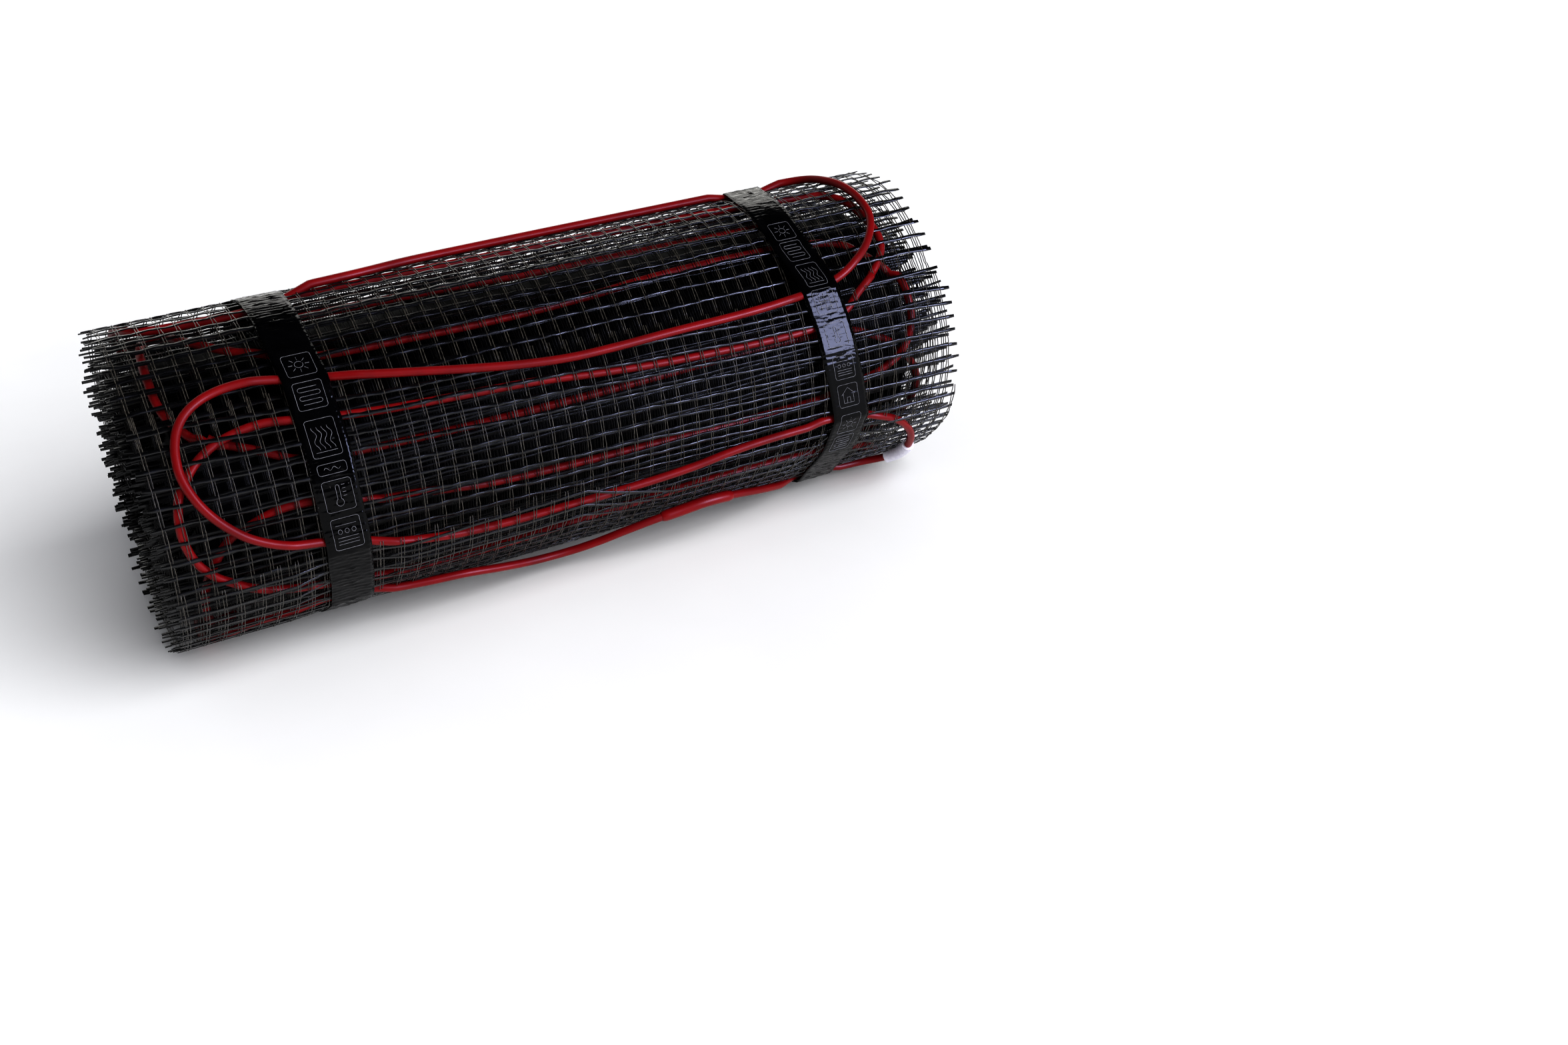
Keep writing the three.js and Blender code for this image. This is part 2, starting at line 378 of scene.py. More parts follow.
def flap_wefts():
    count = int(FLAP_LENGTH / WEFT_SPACING)
    piece = strip("flap_weft", MAT_WIDTH - FLAP_INSET, FLAP_WEFT_WIDTH, FLAP_WEFT_THICKNESS, 100)
    each = len(piece.data.vertices)
    repeat(piece, count, (0, WEFT_SPACING, 0))
    places = points_of(piece) / MM
    which = np.arange(len(places)) // each
    station = places[:, 0] + MAT_WIDTH / 2
    phase = wander.uniform(0, 6.28, count)[which]
    sway = 0.6 * np.sin(station / 37 + phase) + 0.3 * np.sin(station / 9 + 2 * phase)
    put_points(piece, np.stack([station, FLAP_INSET + places[:, 1] + sway, places[:, 2]], axis=-1) * MM)
    lay_flap(piece)
    smooth(piece)
    return piece


def flap_warps():
    piece = strip("flap_warp", FLAP_LENGTH, THREAD_WIDTH, THREAD_THICKNESS, 26)
    each = len(piece.data.vertices)
    repeat(piece, 2, (0, TWIN_STEP, 0))
    repeat(piece, PAIRS, (0, PAIR_SPACING, 0))
    places = points_of(piece) / MM
    which = np.arange(len(places)) // each
    pair, twin = which // 2, which % 2
    along = places[:, 0] + FLAP_LENGTH / 2
    across = places[:, 1] - pair * PAIR_SPACING - twin * TWIN_STEP
    side = np.where(twin == 0, -1.0, 1.0)
    beat = math.pi * (along - FLAP_INSET) / WEFT_SPACING
    longer = wander.normal(0, 2.5, PAIRS)[pair] * np.clip(1 - along / 14, 0, 1)
    sway = wander.normal(0, 0.9, PAIRS)[pair] * np.clip(1 - along / 60, 0, 1)
    spread = 0.8 + 0.1 * np.cos(2 * beat)
    lift = 0.35 * side * np.cos(beat)
    put_points(piece, np.stack([FIRST_PAIR + 2 + pair * PAIR_SPACING + across + side * spread + sway, along - longer,
                                places[:, 2] + lift], axis=-1) * MM)
    lay_flap(piece)
    smooth(piece)
    return piece


wefts.append(flap_wefts())
warps.append(flap_warps())
print("flap laid")

# %% [markdown]
# The heating cable is an extruded red sheath, five millimetres thick. Its route is a list of places on the roll, read
# off from the real one where it shows, and a smooth curve goes through them. The cables that show through the mesh,
# between the turns, are made in the same way. Under the roll, the cable is pressed level with the mesh, and low on
# the left it lies between the strands, under the flap.

# %% Heating cable
CABLE_RADIUS = 2.5
MESH_HALF = 0.35  # how far the bundles of the outer turn stand proud of its radius
SEAT = ROLL_RADIUS + MESH_HALF + CABLE_RADIUS
LEFT_TAPE = 97
RIGHT_TAPE = 415
SAMPLES = 24  # places on the curve from one knot to the next


def spline(knots, step):
    # A centripetal Catmull-Rom curve through the knots, sampled evenly.
    knots = np.asarray(knots, float)
    ends = np.vstack([2 * knots[0] - knots[1], knots, 2 * knots[-1] - knots[-2]])
    found = []
    for a, b, c, d in zip(ends[:-3], ends[1:-2], ends[2:-1], ends[3:]):
        t1 = max(np.linalg.norm(b - a), 1e-6) ** 0.5
        t2 = t1 + max(np.linalg.norm(c - b), 1e-6) ** 0.5
        t3 = t2 + max(np.linalg.norm(d - c), 1e-6) ** 0.5
        t = np.linspace(t1, t2, SAMPLES, endpoint=False)[:, None]
        p1 = a + (b - a) * t / t1
        p2 = b + (c - b) * (t - t1) / (t2 - t1)
        p3 = c + (d - c) * (t - t2) / (t3 - t2)
        q1 = p1 + (p2 - p1) * t / t2
        q2 = p2 + (p3 - p2) * (t - t1) / (t3 - t1)
        found.append(q1 + (q2 - q1) * (t - t1) / (t2 - t1))
    found = np.vstack(found + [knots[-1:]])
    gone = np.concatenate([[0], np.cumsum(np.linalg.norm(np.diff(found, axis=0), axis=1))])
    even = np.linspace(0, gone[-1], max(2, int(gone[-1] / step)))
    return np.stack([np.interp(even, gone, found[:, i]) for i in range(3)], axis=-1)


def pressed(station, angle):
    # The tapes press the cable into the soft mesh, deepest at the top of the left one.
    left = np.interp(np.abs(station - LEFT_TAPE), [13, 28], [1, 0]) * np.interp(angle, [0, 20], [5, 2.8])
    right = np.interp(np.abs(station - RIGHT_TAPE), [13, 26], [1, 0]) * 2.8
    return left + right


def route(knots, seat=None, step=2.5):
    # Knots are station, angle and lift. The spline is drawn on the flat mat and then wrapped.
    flat = [(k[0], math.radians(k[1]) * SEAT, k[2] if len(k) > 2 else 0.0) for k in knots]
    line = spline(flat, step)
    angle = np.degrees(line[:, 1] / SEAT)
    radius = (SEAT - pressed(line[:, 0], angle) if seat is None else seat(angle)) + line[:, 2]
    places = on_roll(line[:, 0], angle, radius)
    places[:, 2] = np.maximum(places[:, 2], AXIS_Z - (ROLL_RADIUS - CABLE_RADIUS) * MM)
    return places


def tube(name, places, radius, sides=4):
    curve = bpy.data.curves.new(name, "CURVE")
    curve.dimensions = "3D"
    curve.bevel_depth = radius * MM
    curve.bevel_resolution = sides
    curve.use_fill_caps = True
    line = curve.splines.new("POLY")
    line.points.add(len(places) - 1)
    for point, place in zip(line.points, places):
        point.co = (*place, 1)
    piece = bpy.data.objects.new(name, curve)
    bpy.context.collection.objects.link(piece)
    only(piece)
    bpy.ops.object.convert(target="MESH")
    smooth(piece)
    return piece


MAIN_ROUTE = [
    (97, -11.5), (131, -12.2), (161, -14.6), (190, -19), (250, -21.5), (330, -22), (390, -22), (418, -22),
    (437, -22.5), (449, -20.5), (457, -15.5), (462, -8), (465.6, -0.4), (467.4, 7.5), (467.6, 15), (466.3, 22),
    (462.5, 27.6), (457, 32.4), (450.5, 36.5), (442, 40.3), (432, 43.8), (420, 46.4), (398, 48.9), (380, 50.0),
    (354, 50.7), (311, 51), (269, 51.6), (242, 51.4), (213, 49.7), (184, 47), (158, 44.2), (130, 41), (104, 37.3),
    (80, 34.8), (67, 34.3), (53, 34.9), (41.4, 36.9), (32.4, 40.2), (26.3, 44.4), (22.6, 49.4), (21, 54.3),
    (20.8, 59), (22.6, 64), (25.9, 69), (31.2, 74.3), (38.2, 79.4), (46.4, 84), (56.4, 87.8), (66, 90.4),
    (83.5, 93.6), (97, 95.9), (112, 98.5), (137, 102.2), (156, 104.3), (175, 105.5), (195, 106), (240, 105.8),
    (284, 105), (313, 103.6), (335, 101.6), (353, 100.6), (384, 100), (404, 100.2), (418, 100.6),
    (432, 101.8), (445, 104.2, 0.4), (457, 108, 1), (466.5, 113.3, 1.6), (473, 120, 2.2), (476, 127, 2.4),
    (476.5, 134, 2.4), (474, 141, 2.2), (467, 146.5, 1.7), (457, 149.5, 1), (445, 150.4, 0.5), (432, 150),
    (418, 149), (400, 145.5, 0.6), (370, 136, 1.5), (345, 129.8, 2), (326, 127.8, 2.5), (309, 129, 3),
    (290, 130.5, 3.5), (270, 134, 4), (256, 138, 4.4), (241, 141, 4.6), (219, 140.8, 4.4), (194, 136.5, 3.6),
    (170, 132.5, 2.4), (149, 131.5, 1.4), (133, 131, 0.3), (115, 129.6, -0.9), (97, 129.5, -1.6), (72, 131, -3.6),
    (50, 133.5, -4.5), (36, 138.5, -4.5), (27, 146.5, -4.2), (22.4, 156, -3.2), (21, 166, -1.5), (22.8, 176),
    (29.5, 187), (41, 195.5), (57, 201),
    (75, 203), (97, 203.3), (175, 205), (257, 208), (340, 206.5), (418, 205), (437, 206), (452, 211), (462, 219.5),
    (467.5, 231), (467.5, 242), (462, 253.5), (452, 262), (437, 267), (418, 268), (340, 269), (257, 270),
    (175, 267), (97, 266),
]
cable = tube("red_heating_cable", route(MAIN_ROUTE), CABLE_RADIUS, 6)
print("cable on the outermost turn:", len(cable.data.polygons), "faces")

# %% Cables between the turns
INNER_ROUTES = {
    "cable_turn_1_start": (0, [(97, -9), (80, -6), (53, -6.5), (31, -8.5), (22, -14), (18, -24), (17.5, -38),
                               (20, -50), (27, -60), (40, -66), (60, -69), (80, -70), (97, -70)]),
    "cable_turn_2": (0, [(97, -15), (200, -14), (300, -12), (380, -9), (420, -6), (442, -4), (454, -1), (460, 4),
                         (464, 10), (466.5, 17), (469, 24), (469.7, 30), (467.5, 35.5), (462, 40.5), (455, 45),
                         (446, 49), (437, 52.8), (429, 57), (418, 60), (402, 61.8), (380, 62.3), (340, 61.8),
                         (300, 60.8), (260, 58.8), (220, 56.3), (180, 55), (150, 54), (128, 53), (97, 50.8),
                         (82, 49.2), (70, 48.3), (60, 48.7), (50, 50), (42, 51.7), (35, 54.2), (28, 57.7),
                         (24, 60.7), (19, 64.5), (16, 69.5), (14.6, 75), (14.6, 80), (16.3, 86), (19, 90.5),
                         (23, 94.7), (28, 98.7), (35, 102.6), (42, 106.5), (50, 110), (62, 113.7), (80, 117),
                         (97, 119.5), (124, 124), (189, 126.3), (263, 122.3), (330, 120), (400, 122), (440, 128),
                         (462, 140), (468, 155), (460, 170), (435, 178)]),
    "cable_turn_3": (1, [(50, 52), (42, 50.8), (36.8, 47.5), (30.8, 42.6), (24.8, 35.5), (22.1, 27.1), (21.9, 18),
                         (22.6, 7.2), (24.5, -3.5), (29.5, -17), (36.4, -22), (42.8, -17), (47, -7.5),
                         (53.7, -0.7), (61.6, 6), (71.5, 11.5), (81.5, 14.5), (98.5, 21.2), (121.7, 23.3),
                         (162, 24.1), (202.3, 24.8), (242.6, 24.4), (283, 22.9), (303.2, 21.5), (333.5, 20.3),
                         (363.8, 20), (404.1, 20.5), (427.2, 22), (439.2, 23.7), (448.2, 26.6), (454, 30.5),
                         (460.9, 36), (466.8, 40.9), (471.2, 45.9), (474.2, 52.4), (475.1, 60), (474.6, 66.4),
                         (472.2, 73), (468.2, 77.9), (462.8, 82.2), (454.8, 85.5), (446.9, 87.7), (436.8, 89.4),
                         (421.8, 92), (403.8, 93.9), (363.5, 94.5), (303, 94.2), (242.5, 93.6), (202.2, 92.6),
                         (182, 91.6), (161.8, 89.6), (141.6, 87.7), (123.5, 86.4), (111.4, 83.9), (98.2, 81.7),
                         (81.1, 80), (66, 80.2), (50.9, 83.3), (38.9, 86.6), (31.9, 92.2), (25.9, 98.9),
                         (22, 106.5), (20.6, 116.3), (21.6, 127.5), (27.2, 146), (40, 156)]),
    "cable_turn_4": (2, [(41.6, 46.9), (46.7, 49.9), (54.8, 52.8), (63.9, 55.8), (74, 59.9), (82.1, 62.8),
                         (99.3, 65.2), (112.5, 65.8), (163.1, 67), (203.7, 67.2), (244.2, 67), (284.7, 66.5),
                         (345.5, 65.3), (406.3, 65), (424.5, 66.1), (436.7, 67.6), (446.9, 71.1), (457.1, 75.2),
                         (465.4, 80), (471.7, 85.5), (477.2, 91), (480.5, 97.3), (482, 105.1), (481, 113.6),
                         (476, 125), (465, 134), (450, 138)]),
    "cable_upper_run": (1, [(98, -5), (160, -4), (220, -1.5), (260, 1), (320, 2.5), (400, 4), (425, 4)]),
}
inner_cables = []
for name, (layer, knots) in INNER_ROUTES.items():
    def seat_between(angle, layer=layer):
        return (layer_radius(layer, angle) + layer_radius(layer + 1, angle)) / 2
    inner_cables.append(tube(name, route(knots, seat_between, 4), CABLE_RADIUS, 3))
print(len(inner_cables), "cables between the turns")

# %% [markdown]
# The splice sleeve is a short piece of shrink tube, a little thicker than the cable, with ends that have drawn in. The
# label is a strip of paper wound round the cable, and it stays blank.

# %% Splice sleeve and label
def tapered(name, places, radii):
    # A tube with its own radius at each place along a line.
    piece = tube(name, places, 1.0, 5)
    points = points_of(piece)
    nearest = np.argmin(((points[:, None, :] - places[None, :, :]) ** 2).sum(-1), axis=1)
    middle = places[nearest]
    put_points(piece, middle + (points - middle) * np.asarray(radii)[nearest][:, None])
    return piece


def stretch(station, angle, length):
    # The piece of the cable's middle line, this long, that is nearest to a place on the roll.
    line = route(MAIN_ROUTE, step=1.0)
    goal = on_roll(float(station), float(angle), SEAT + 1.5)
    at = int(np.argmin(((line - goal) ** 2).sum(-1)))
    half = int(length / 2)
    return line[at - half:at + half + 1]


sleeve_line = stretch(321, 128, 50)
shares = np.linspace(0, 1, len(sleeve_line))
sleeve_radii = CABLE_RADIUS + 0.25 + 0.85 * np.clip(np.minimum(shares, 1 - shares) * 14, 0, 1) ** 0.5
sleeve = tapered("splice_sleeve_shrunk", sleeve_line, sleeve_radii)

label_line = stretch(475.5, 136, 26)
label = tapered("blank_cable_label", label_line, np.full(len(label_line), CABLE_RADIUS + 1.8))
print("sleeve and label on the cable")

# %% [markdown]
# The tape is thin glossy film, pulled tight over the roll and over each cable under it, so it spans from bump to bump
# in flat facets and wrinkles between them. It is a strip of grid laid on the outline that a taut band takes, with
# small crinkles in code. Each tape then presses the flap down.

# %% Tape
TAPE_HALF = 12.5
FILM = 0.14  # its thickness
WRAP = 372  # degrees, from its start to its end
CRINKLES = 30


def taut_radius(station, line):
    # The radius of the convex outline round the roll and the cables that pass under a station.
    near = line[np.abs((line[:, 0] - LEFT) / MM - station) < TAPE_HALF + 3]
    y = (near[:, 1] - AXIS_Y) / MM
    z = (near[:, 2] - AXIS_Z) / MM
    rim = np.radians(np.arange(0, 360, 1.5))
    hull = [(ROLL_RADIUS + MESH_HALF) * np.stack([np.sin(rim), np.cos(rim)], -1)]
    skin = CABLE_RADIUS + MESH_HALF
    for turned in np.radians(np.arange(0, 360, 20)):
        hull.append(np.stack([-(y + skin * np.cos(turned)), z + skin * np.sin(turned)], -1))
    cloud = np.vstack(hull)
    directions = np.radians(np.arange(0, 360, 0.5))
    normals = np.stack([np.sin(directions), np.cos(directions)], -1)
    support = (cloud @ normals.T).max(axis=0)
    # The outline's radius at an angle is the nearest of the tangent lines that it can reach.
    radius = np.empty(len(directions))
    for i, direction in enumerate(directions):
        facing = np.cos(directions - direction)
        ahead = facing > 0.2
        radius[i] = (support[ahead] / facing[ahead]).min()
    return np.degrees(directions), radius


outer_line = route(MAIN_ROUTE, step=2.0)


def left_sides(angle):
    # The station of the tape's middle line. Neither tape runs quite straight round the roll.
    return np.interp(angle, [-24, 20, 60, 100, 130, 180, 270, 336], [95.5, 96.5, 97.5, 99, 100, 98, 96, 95.5])


def right_sides(angle):
    return np.interp(angle, [-24, -4, 14, 29, 42, 59, 73, 87, 99, 113, 130, 180, 270, 336],
                     [413, 409, 406, 405.5, 409, 413, 415.5, 418, 420, 419.5, 417, 416, 415, 413])


def under_flap(angle):
    # The tape rides a little higher where the flap lies under it.
    return np.interp(np.mod(angle, 360), [88, 97, 165, 178], [0, 0.8, 0.8, 0.1])


def tape_band(name, middle_of, seam, seed):
    # The film starts at the seam, goes once round, and its last stretch lies over its start.
    angles, radius = taut_radius(float(np.mean(middle_of(np.arange(0, 180, 5)))), outer_line)
    deselect()
    bpy.ops.mesh.primitive_grid_add(x_subdivisions=720, y_subdivisions=10, size=1)
    piece = bpy.context.object
    piece.name = name
    places = points_of(piece)
    share = places[:, 0] + 0.5
    angle = seam - WRAP + share * WRAP
    across = places[:, 1] * 2 * TAPE_HALF
    draw = np.random.default_rng(seed)
    crinkle = np.zeros(len(angle))
    for _ in range(CRINKLES):
        slope, pitch, shift = draw.normal(0, 0.5), draw.uniform(6, 30), draw.uniform(0, 6.28)
        wave = np.sin((angle + slope * across) * pitch / 10 + shift + 1.2 * np.sin(across / draw.uniform(3, 9) + shift))
        crinkle += draw.normal(0, 0.075) * (1 - 2 * np.abs(wave) ** 0.7)
    # The tape's edges curl by a fraction of a millimetre, and its end lies over its start.
    edge = np.abs(places[:, 1] * 2)
    waver = 0.5 * np.sin(np.radians(angle * 5) + seed) + 0.25 * np.sin(np.radians(angle * 13))
    station = middle_of(np.mod(angle + 24, 360) - 24) + across + waver * edge
    base = np.interp(np.mod(angle, 360), angles, radius, period=360) + under_flap(angle)
    overlap = 0.3 * np.clip((angle - (seam - 15)) / 3, 0, 1)
    proud = base + FILM + overlap + np.maximum(crinkle, -0.15) * (1 - 0.3 * edge)
    put_points(piece, on_roll(station, angle, proud))
    only(piece)
    bpy.ops.object.mode_set(mode="EDIT")
    bpy.ops.mesh.select_all(action="SELECT")
    bpy.ops.mesh.flip_normals()
    bpy.ops.object.mode_set(mode="OBJECT")
    apply_modifier(piece, "SOLIDIFY", thickness=FILM * MM, offset=-1)
    smooth(piece)
    return piece, (angles, radius)


tape_left, left_outline = tape_band("black_tape_left", left_sides, 205, 3)
tape_right, right_outline = tape_band("black_tape_right", right_sides, 73, 5)


def press_flap(piece):
    # The tapes hold the outer flap down on the roll.
    places = points_of(piece)
    station = (places[:, 0] - LEFT) / MM
    y, z = (places[:, 1] - AXIS_Y) / MM, (places[:, 2] - AXIS_Z) / MM
    angle, radius = np.degrees(np.arctan2(-y, z)), np.hypot(y, z)
    for middle_of, outline in ((left_sides, left_outline), (right_sides, right_outline)):
        near = np.interp(np.abs(station - middle_of(angle)), [TAPE_HALF + 2, 32], [1, 0])
        limit = np.interp(np.mod(angle, 360), *outline, period=360) + under_flap(angle) - 0.3
        radius -= near * np.maximum(radius - limit, 0)
    put_points(piece, on_roll(station, angle, radius))


press_flap(wefts[-1])
press_flap(warps[-1])
print("tapes", len(tape_left.data.polygons), len(tape_right.data.polygons))

# %% [markdown]
# The tape is printed with a row of small line drawings in rounded frames. These are our own plain signs: warmth
# waves, a loop of cable, tiles, a sun, a house and a thermometer. Each is a set of thin raised lines, drawn flat in
# millimetres and then laid on the tape.

# %% Line drawings
def arc(cx, cy, r, a0, a1, n=10):
    return [(cx + r * math.cos(math.radians(a0 + (a1 - a0) * i / n)),
             cy + r * math.sin(math.radians(a0 + (a1 - a0) * i / n))) for i in range(n + 1)]


def frame_line(w, h, r=1.6):
    corners = [(w / 2 - r, h / 2 - r, 0), (-w / 2 + r, h / 2 - r, 90), (-w / 2 + r, -h / 2 + r, 180),
               (w / 2 - r, -h / 2 + r, 270)]
    line = []
    for cx, cy, a in corners:
        line += arc(cx, cy, r, a, a + 90, 4)
    return line + line[:1]


def waves():
    rising = [[(x + 0.9 * math.sin(y * 1.1), y) for y in np.arange(-4.5, 4.6, 0.5)] for x in (-4, -1.3, 1.3, 4)]
    return rising + [[(-5.5, -5.4), (5.5, -5.4)]]


def serpentine():
    line = []
    for i, y in enumerate((-4.6, -2.3, 0, 2.3, 4.6)):
        ends = (-4.4, 4.4) if i % 2 == 0 else (4.4, -4.4)
        line += [(ends[0], y), (ends[1], y)]
        if i < 4:
            line += arc(ends[1], y + 1.15, 1.15, -90, 90, 5)[1:-1] if ends[1] > 0 else \
                arc(ends[1], y + 1.15, 1.15, 270, 90, 5)[1:-1]
    return [line]


def tiles():
    return [[(-5.5, y), (5.5, y)] for y in (-3.4, 0, 3.4)] + [[(x, -5.5), (x, 5.5)] for x in (-3.6, 0, 3.6)]


def sun():
    rays = [[(3.2 * math.cos(a), 3.2 * math.sin(a)), (5.4 * math.cos(a), 5.4 * math.sin(a))]
            for a in np.radians(np.arange(0, 360, 45))]
    return [arc(0, 0, 2.2, 0, 360, 14)] + rays


def house():
    return [[(-5, 0.4), (0, 5.2), (5, 0.4)], [(-3.8, 1.4), (-3.8, -5), (3.8, -5), (3.8, 1.4)],
            [(-1.2, -5), (-1.2, -1.4), (1.2, -1.4), (1.2, -5)]]


def thermometer():
    return [arc(0, -3.4, 1.9, 120, 420, 12) + [(0.95, 4.2)] + arc(0, 4.2, 0.95, 0, 180, 5) + [(-0.95, -1.8)]] + \
        [[(2.2, y), (4, y)] for y in (-0.6, 1.2, 3, 4.8)]


def layers():
    return [[(-5.4, y), (5.4, y)] for y in (-4.8, -3.2, -1.6)] + \
        [arc(x, 1.2, 1.1, 0, 360, 10) for x in (-3.6, 0, 3.6)] + [[(-5.4, 4.2), (5.4, 4.2)]]


SIGNS = [sun, serpentine, waves, tiles, thermometer, layers, house]
SIGN_LIFT = 0.55  # clear of the crinkles in the film
SIGN_STEP = 1.6  # the longest straight piece, so that a line follows the tape
TAPE_RADIUS = 94.0
LINE_WIDTH = 0.26


def print_signs(name, middle_of, outline, places, lift_of):
    # Each place is an angle, a width and a height. The drawings lie just proud of the tape.
    curve = bpy.data.curves.new(name, "CURVE")
    curve.dimensions = "3D"
    curve.bevel_depth = LINE_WIDTH / 2 * MM
    curve.bevel_resolution = 0
    for number, (angle0, wide, tall) in enumerate(places):
        drawn = [frame_line(wide, tall)]
        if tall > 9:
            drawn += [[(x * wide / 15, y * tall / 15) for x, y in line] for line in SIGNS[number % len(SIGNS)]()]
        else:
            drawn += [[(x, 0.9 * math.sin(x * 1.4)) for x in np.arange(-4.5, 4.6, 0.6)]]
        for line in drawn:
            fine = []
            for (x0, y0), (x1, y1) in zip(line[:-1], line[1:]):
                parts = max(1, int(math.hypot(x1 - x0, y1 - y0) / SIGN_STEP))
                fine += [(x0 + (x1 - x0) * i / parts, y0 + (y1 - y0) * i / parts) for i in range(parts)]
            fine = np.array(fine + [line[-1]])
            angle = angle0 - np.degrees(fine[:, 1] / TAPE_RADIUS)
            station = middle_of(angle) + fine[:, 0]
            radius = np.interp(np.mod(angle, 360), *outline, period=360) + under_flap(angle)
            row = curve.splines.new("POLY")
            row.points.add(len(fine) - 1)
            for point, place in zip(row.points, on_roll(station, angle, radius + lift_of(angle))):
                point.co = (*place, 1)
    piece = bpy.data.objects.new(name, curve)
    bpy.context.collection.objects.link(piece)
    only(piece)
    bpy.ops.object.convert(target="MESH")
    return piece


around_left = [(a, 16, t) for a, t in ((32, 15), (43.5, 15), (58, 21), (68.5, 6), (78, 18), (91.5, 18))]
around_right = [(a, 14, t) for a, t in ((20, 15), (30.5, 15), (42, 16), (53, 15), (66, 15), (79, 15), (90.5, 15),
                                        (103, 16), (114.5, 15))]
hidden_rows = [(a, 15, 15) for a in np.arange(177.5, 330, 12.5)]
signs_left = print_signs("tape_print_left", left_sides, left_outline, around_left + hidden_rows,
                         lambda angle: SIGN_LIFT)
signs_right = print_signs("tape_print_right", right_sides, right_outline, around_right + hidden_rows,
                          lambda angle: SIGN_LIFT + 0.3 * (np.abs(angle - 65.5) < 7.5))
print("signs", len(signs_left.data.polygons) + len(signs_right.data.polygons))

# %% [markdown]
# Materials come last. Each is named for what the real one is and how its surface came about, and the lit and shaded
# copies for the turns say so too. The mesh is glass fibre
# dipped in black resin: the fibres still show as fine ridges along each bundle, which stretch and break its glints.

# %% One helper for nodes
def add_node(tree, kind, inputs=None, links=None, **settings):
    node = tree.nodes.new(kind)
    for key, value in settings.items():
        setattr(node, key, value)
    for key, value in (inputs or {}).items():
        node.inputs[key].default_value = value
    for key, source in (links or {}).items():
        tree.links.new(source, node.inputs[key])
    return node


def new_material(name, colour, roughness, **sockets):
    material = bpy.data.materials.new(name)
    material.use_nodes = True
    shader = material.node_tree.nodes["Principled BSDF"]
    shader.inputs["Base Color"].default_value = linear(colour)
    shader.inputs["Roughness"].default_value = roughness
    for key, value in sockets.items():
        shader.inputs[key].default_value = value
    return material, material.node_tree, shader


def between(node, start, start_colour, end, end_colour):
    # Sets the two stops of a colour ramp. A number is a grey, for a ramp that drives the roughness.
    for element, place, colour in zip(node.color_ramp.elements, (start, end), (start_colour, end_colour)):
        element.position = place
        element.color = linear(colour) if isinstance(colour, str) else (colour, colour, colour, 1)
    return node


# %% Fibreglass, resin-dipped
def fibreglass(name, along, dark, light, roughness, shine=0.2):
    # along is the axis that the fibres run on: X for the bundles, None for threads that go round the roll.
    material, tree, shader = new_material(name, dark, roughness, **{"Specular IOR Level": shine})
    where = add_node(tree, "ShaderNodeTexCoord")
    # Fibre ridges 0.25 mm apart, drawn 12 mm long.
    scale = (80, 4000, 4000) if along == "X" else (1800, 500, 500)
    mapped = add_node(tree, "ShaderNodeMapping", {"Scale": scale}, {"Vector": where.outputs["Object"]})
    fibres = add_node(tree, "ShaderNodeTexNoise", {"Scale": 1.0, "Detail": 3.0, "Roughness": 0.6},
                      {"Vector": mapped.outputs["Vector"]})
    patches = add_node(tree, "ShaderNodeTexNoise", {"Scale": 90.0, "Detail": 2.0},
                       {"Vector": where.outputs["Object"]})
    tone = between(add_node(tree, "ShaderNodeValToRGB", links={"Fac": fibres.outputs["Fac"]}),
                   0.38, dark, 0.66, light)
    tree.links.new(tone.outputs["Color"], shader.inputs["Base Color"])
    gloss = between(add_node(tree, "ShaderNodeValToRGB", links={"Fac": patches.outputs["Fac"]}),
                    0.35, roughness - 0.08, 0.7, roughness + 0.16)
    tree.links.new(gloss.outputs["Color"], shader.inputs["Roughness"])
    bump = add_node(tree, "ShaderNodeBump", {"Strength": 0.16, "Distance": 0.0002},
                    {"Height": fibres.outputs["Fac"]})
    tree.links.new(bump.outputs["Normal"], shader.inputs["Normal"])
    return material


# Lit and shaded copies of one finish. The turns under the first one get painted shade: their bundles get less shine,
# and their threads much darker colours. The lighter colours of the first turn's threads are painted light.
weft_finish = fibreglass("fibreglass_bundle_resin_dipped", "X", "040405", "0E0E11", 0.27, 0.68)
shaded_inner_weft_finish = fibreglass("fibreglass_bundle_inner_turns_painted_shade", "X", "040405", "0E0E11", 0.3, 0.5)
lit_warp_finish = fibreglass("fibreglass_thread_twisted_painted_light", None, "2C2925", "625D56", 0.34, 0.5)
shaded_inner_warp_finish = fibreglass("fibreglass_thread_inner_turns_painted_shade", None, "0C0B0B", "201E1C", 0.4, 0.3)
core_finish = fibreglass("fibreglass_packed_turns", "X", "020203", "08080A", 0.6, 0.1)

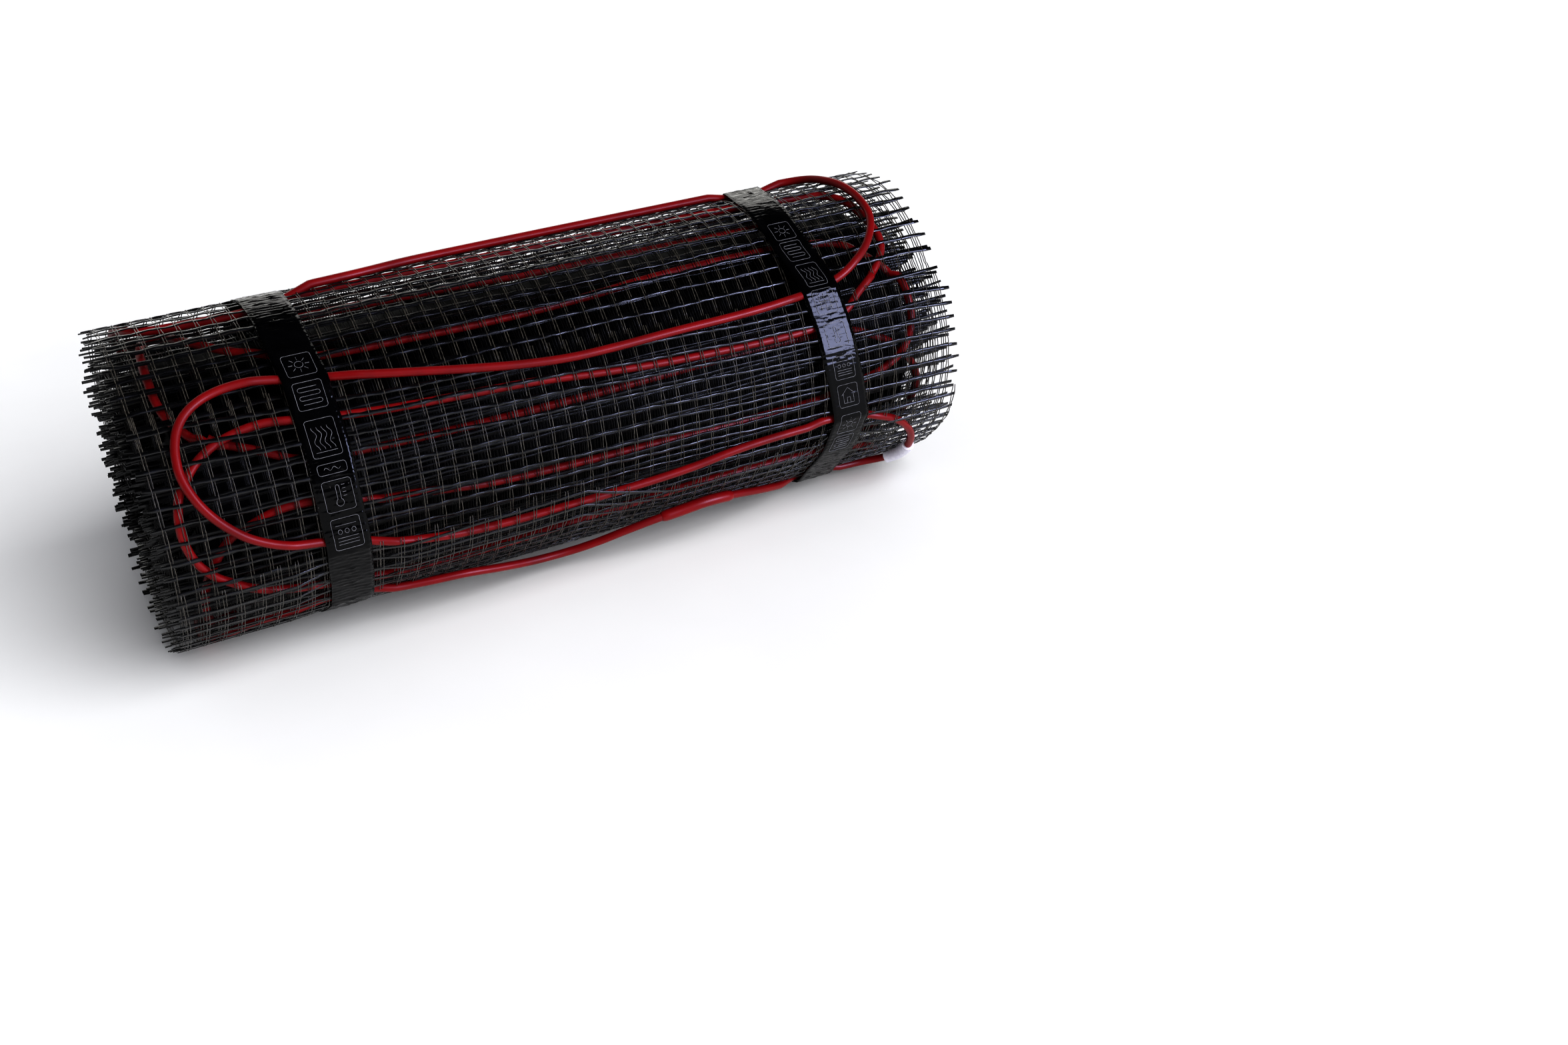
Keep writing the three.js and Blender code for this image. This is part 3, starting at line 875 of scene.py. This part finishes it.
# %% Red sheath
def sheath(name, colour, deep, roughness):
    # Extruded polymer: a smooth skin with a faint draw along its length and a few duller patches.
    material, tree, shader = new_material(name, colour, roughness, **{"Specular IOR Level": 0.3})
    where = add_node(tree, "ShaderNodeTexCoord")
    cloud = add_node(tree, "ShaderNodeTexNoise", {"Scale": 45.0, "Detail": 3.0}, {"Vector": where.outputs["Object"]})
    grain = add_node(tree, "ShaderNodeTexNoise", {"Scale": 1500.0, "Detail": 2.0},
                     {"Vector": where.outputs["Object"]})
    tone = between(add_node(tree, "ShaderNodeValToRGB", links={"Fac": cloud.outputs["Fac"]}),
                   0.3, deep, 0.7, colour)
    tree.links.new(tone.outputs["Color"], shader.inputs["Base Color"])
    gloss = between(add_node(tree, "ShaderNodeValToRGB", links={"Fac": cloud.outputs["Fac"]}),
                    0.3, roughness + 0.08, 0.7, roughness - 0.04)
    tree.links.new(gloss.outputs["Color"], shader.inputs["Roughness"])
    bump = add_node(tree, "ShaderNodeBump", {"Strength": 0.12, "Distance": 0.0001}, {"Height": grain.outputs["Fac"]})
    tree.links.new(bump.outputs["Normal"], shader.inputs["Normal"])
    return material


cable_finish = sheath("cable_sheath_extruded_red", "86080F", "6E060C", 0.36)
sleeve_finish = sheath("shrink_sleeve_red", "900A12", "78080E", 0.3)

# %% Tape film, print and paper
def tape_film():
    material, tree, shader = new_material("tape_film_black_glossy", "060607", 0.14, **{"Specular IOR Level": 0.2})
    where = add_node(tree, "ShaderNodeTexCoord")
    # Creases a few millimetres apart, with finer ones between them.
    broad = add_node(tree, "ShaderNodeTexNoise", {"Scale": 70.0, "Detail": 2.5, "Distortion": 0.8},
                     {"Vector": where.outputs["Object"]})
    creases = add_node(tree, "ShaderNodeTexNoise", {"Scale": 130.0, "Detail": 1.0, "Distortion": 2.5},
                       {"Vector": where.outputs["Object"]}, noise_type="RIDGED_MULTIFRACTAL")
    both = add_node(tree, "ShaderNodeMath", {1: 0.22}, {0: creases.outputs["Fac"]}, operation="MULTIPLY")
    total = add_node(tree, "ShaderNodeMath", None, {0: broad.outputs["Fac"], 1: both.outputs[0]}, operation="ADD")
    bump = add_node(tree, "ShaderNodeBump", {"Strength": 0.6, "Distance": 0.0008}, {"Height": total.outputs[0]})
    tree.links.new(bump.outputs["Normal"], shader.inputs["Normal"])
    gloss = between(add_node(tree, "ShaderNodeValToRGB", links={"Fac": broad.outputs["Fac"]}), 0.3, 0.1, 0.75, 0.2)
    tree.links.new(gloss.outputs["Color"], shader.inputs["Roughness"])
    tone = between(add_node(tree, "ShaderNodeValToRGB", links={"Fac": broad.outputs["Fac"]}),
                   0.3, "030304", 0.8, "08080A")
    tree.links.new(tone.outputs["Color"], shader.inputs["Base Color"])
    return material


def flat_finish(name, colour, other, roughness, scale, bump_height):
    material, tree, shader = new_material(name, colour, roughness)
    where = add_node(tree, "ShaderNodeTexCoord")
    cloud = add_node(tree, "ShaderNodeTexNoise", {"Scale": scale, "Detail": 4.0}, {"Vector": where.outputs["Object"]})
    tone = between(add_node(tree, "ShaderNodeValToRGB", links={"Fac": cloud.outputs["Fac"]}),
                   0.35, other, 0.65, colour)
    tree.links.new(tone.outputs["Color"], shader.inputs["Base Color"])
    bump = add_node(tree, "ShaderNodeBump", {"Strength": 0.2, "Distance": bump_height},
                    {"Height": cloud.outputs["Fac"]})
    tree.links.new(bump.outputs["Normal"], shader.inputs["Normal"])
    return material


tape_finish = tape_film()
ink_finish = flat_finish("tape_print_pale_ink", "9C9CA4", "6C6C74", 0.5, 400.0, 0.00002)
paper_finish = flat_finish("label_paper_blank", "EAE8F2", "DCD9E6", 0.55, 500.0, 0.00005)
floor_finish = flat_finish("studio_floor_matt", "F4F4F5", "F1F1F2", 0.9, 6.0, 0.00005)
print("materials made")

# %% Dress the pieces
def dress(piece, finish, slot, *nodes):
    piece.data.materials.clear()
    piece.data.materials.append(finish)
    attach(piece, "root")
    if nodes:
        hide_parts(*nodes)


# The first turn and the flap, the last in each list, lie in the light and get the lit copies; the turns under them get
# the shaded copies, painted shade.
for piece in wefts:
    dress(piece, weft_finish if piece in (wefts[0], wefts[-1]) else shaded_inner_weft_finish, "mesh", "mat_roll")
for piece in warps:
    dress(piece, lit_warp_finish if piece in (warps[0], warps[-1]) else shaded_inner_warp_finish, "mesh", "mat_roll")
dress(core, core_finish, "mesh", "mat_roll")
dress(cable, cable_finish, "cable_sheath", "heating_cable")
for piece in inner_cables:
    dress(piece, cable_finish, "cable_sheath", "mat_roll")
dress(sleeve, sleeve_finish, "sleeve", "splice_sleeve")
dress(label, paper_finish, "label", "cable_label")
dress(tape_left, tape_finish, "tape", "tape_left")
dress(tape_right, tape_finish, "tape", "tape_right")
dress(signs_left, ink_finish, "tape", "tape_left")
dress(signs_right, ink_finish, "tape", "tape_right")
floor.data.materials.append(floor_finish)
